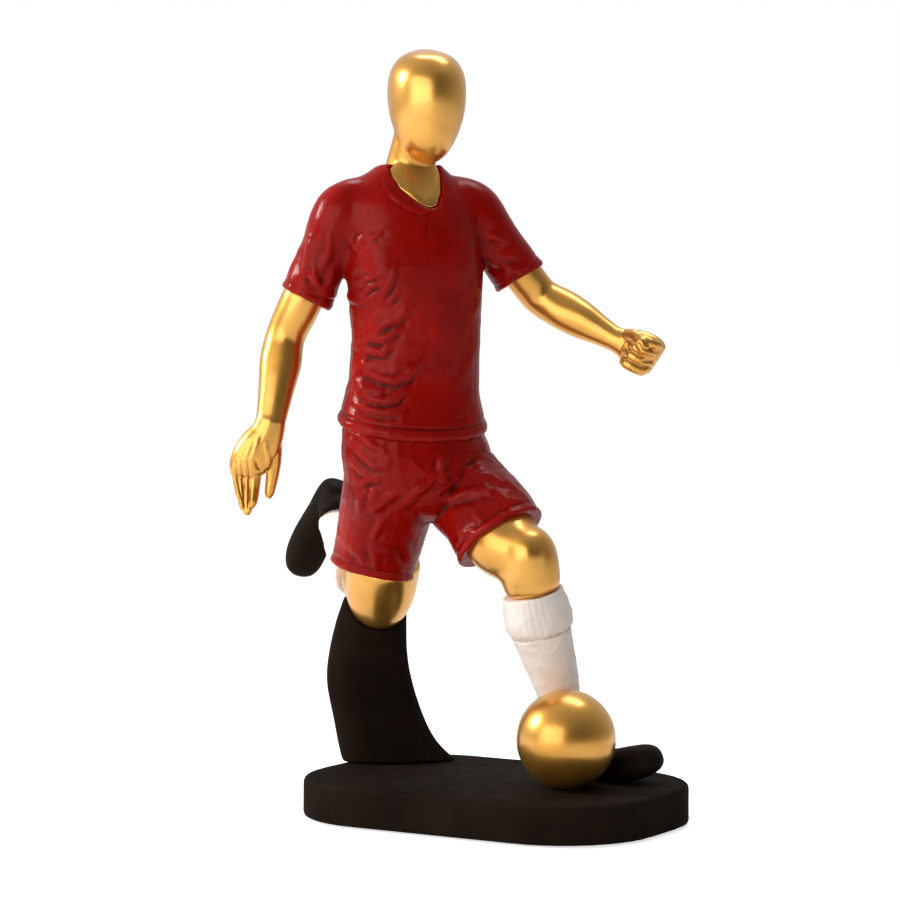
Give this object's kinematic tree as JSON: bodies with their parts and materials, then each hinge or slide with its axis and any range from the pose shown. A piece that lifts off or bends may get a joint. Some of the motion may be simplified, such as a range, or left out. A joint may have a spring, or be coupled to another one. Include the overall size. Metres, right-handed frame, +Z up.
{
  "type": "figure trophy",
  "caption": "Free-standing trophy: a faceless gold footballer in red kit about to strike a ball, resting one knee on a pillar of a rounded black plinth.",
  "frame": {"origin": "centre of the pad's underside, on the table, under the middle of the plinth", "axes": "+Z up; +X along the plinth's long side towards the ball; -Y is the front, towards the viewer"},
  "size_m": [0.2125, 0.12, 0.3019],
  "materials": {
    "plinth_black": "matt sandy black-brown paint",
    "boot_black": "matt black paint",
    "gold_lacquer": "satin gold lacquer",
    "kit_red": "brushed satin deep red paint",
    "sock_white": "matt off-white paint",
    "pin_steel": "plain drawn steel",
    "pad_foam": "closed-cell foam sheet"
  },
  "bodies": {
    "root": {"plinth": "plinth_black", "base_pad": "pad_foam", "base_screws": "pin_steel", "support_pillar": "plinth_black", "ball": "gold_lacquer", "left_boot": "boot_black", "left_sock": "sock_white", "left_leg": "gold_lacquer", "right_leg": "gold_lacquer", "right_sock": "sock_white", "right_boot": "boot_black", "shorts": "kit_red", "jersey": "kit_red", "right_arm": "gold_lacquer", "left_arm": "gold_lacquer", "head": "gold_lacquer", "waist_dowels": "pin_steel", "medium_dowels": "pin_steel", "small_dowels": "pin_steel"}
  },
  "joints": []
}
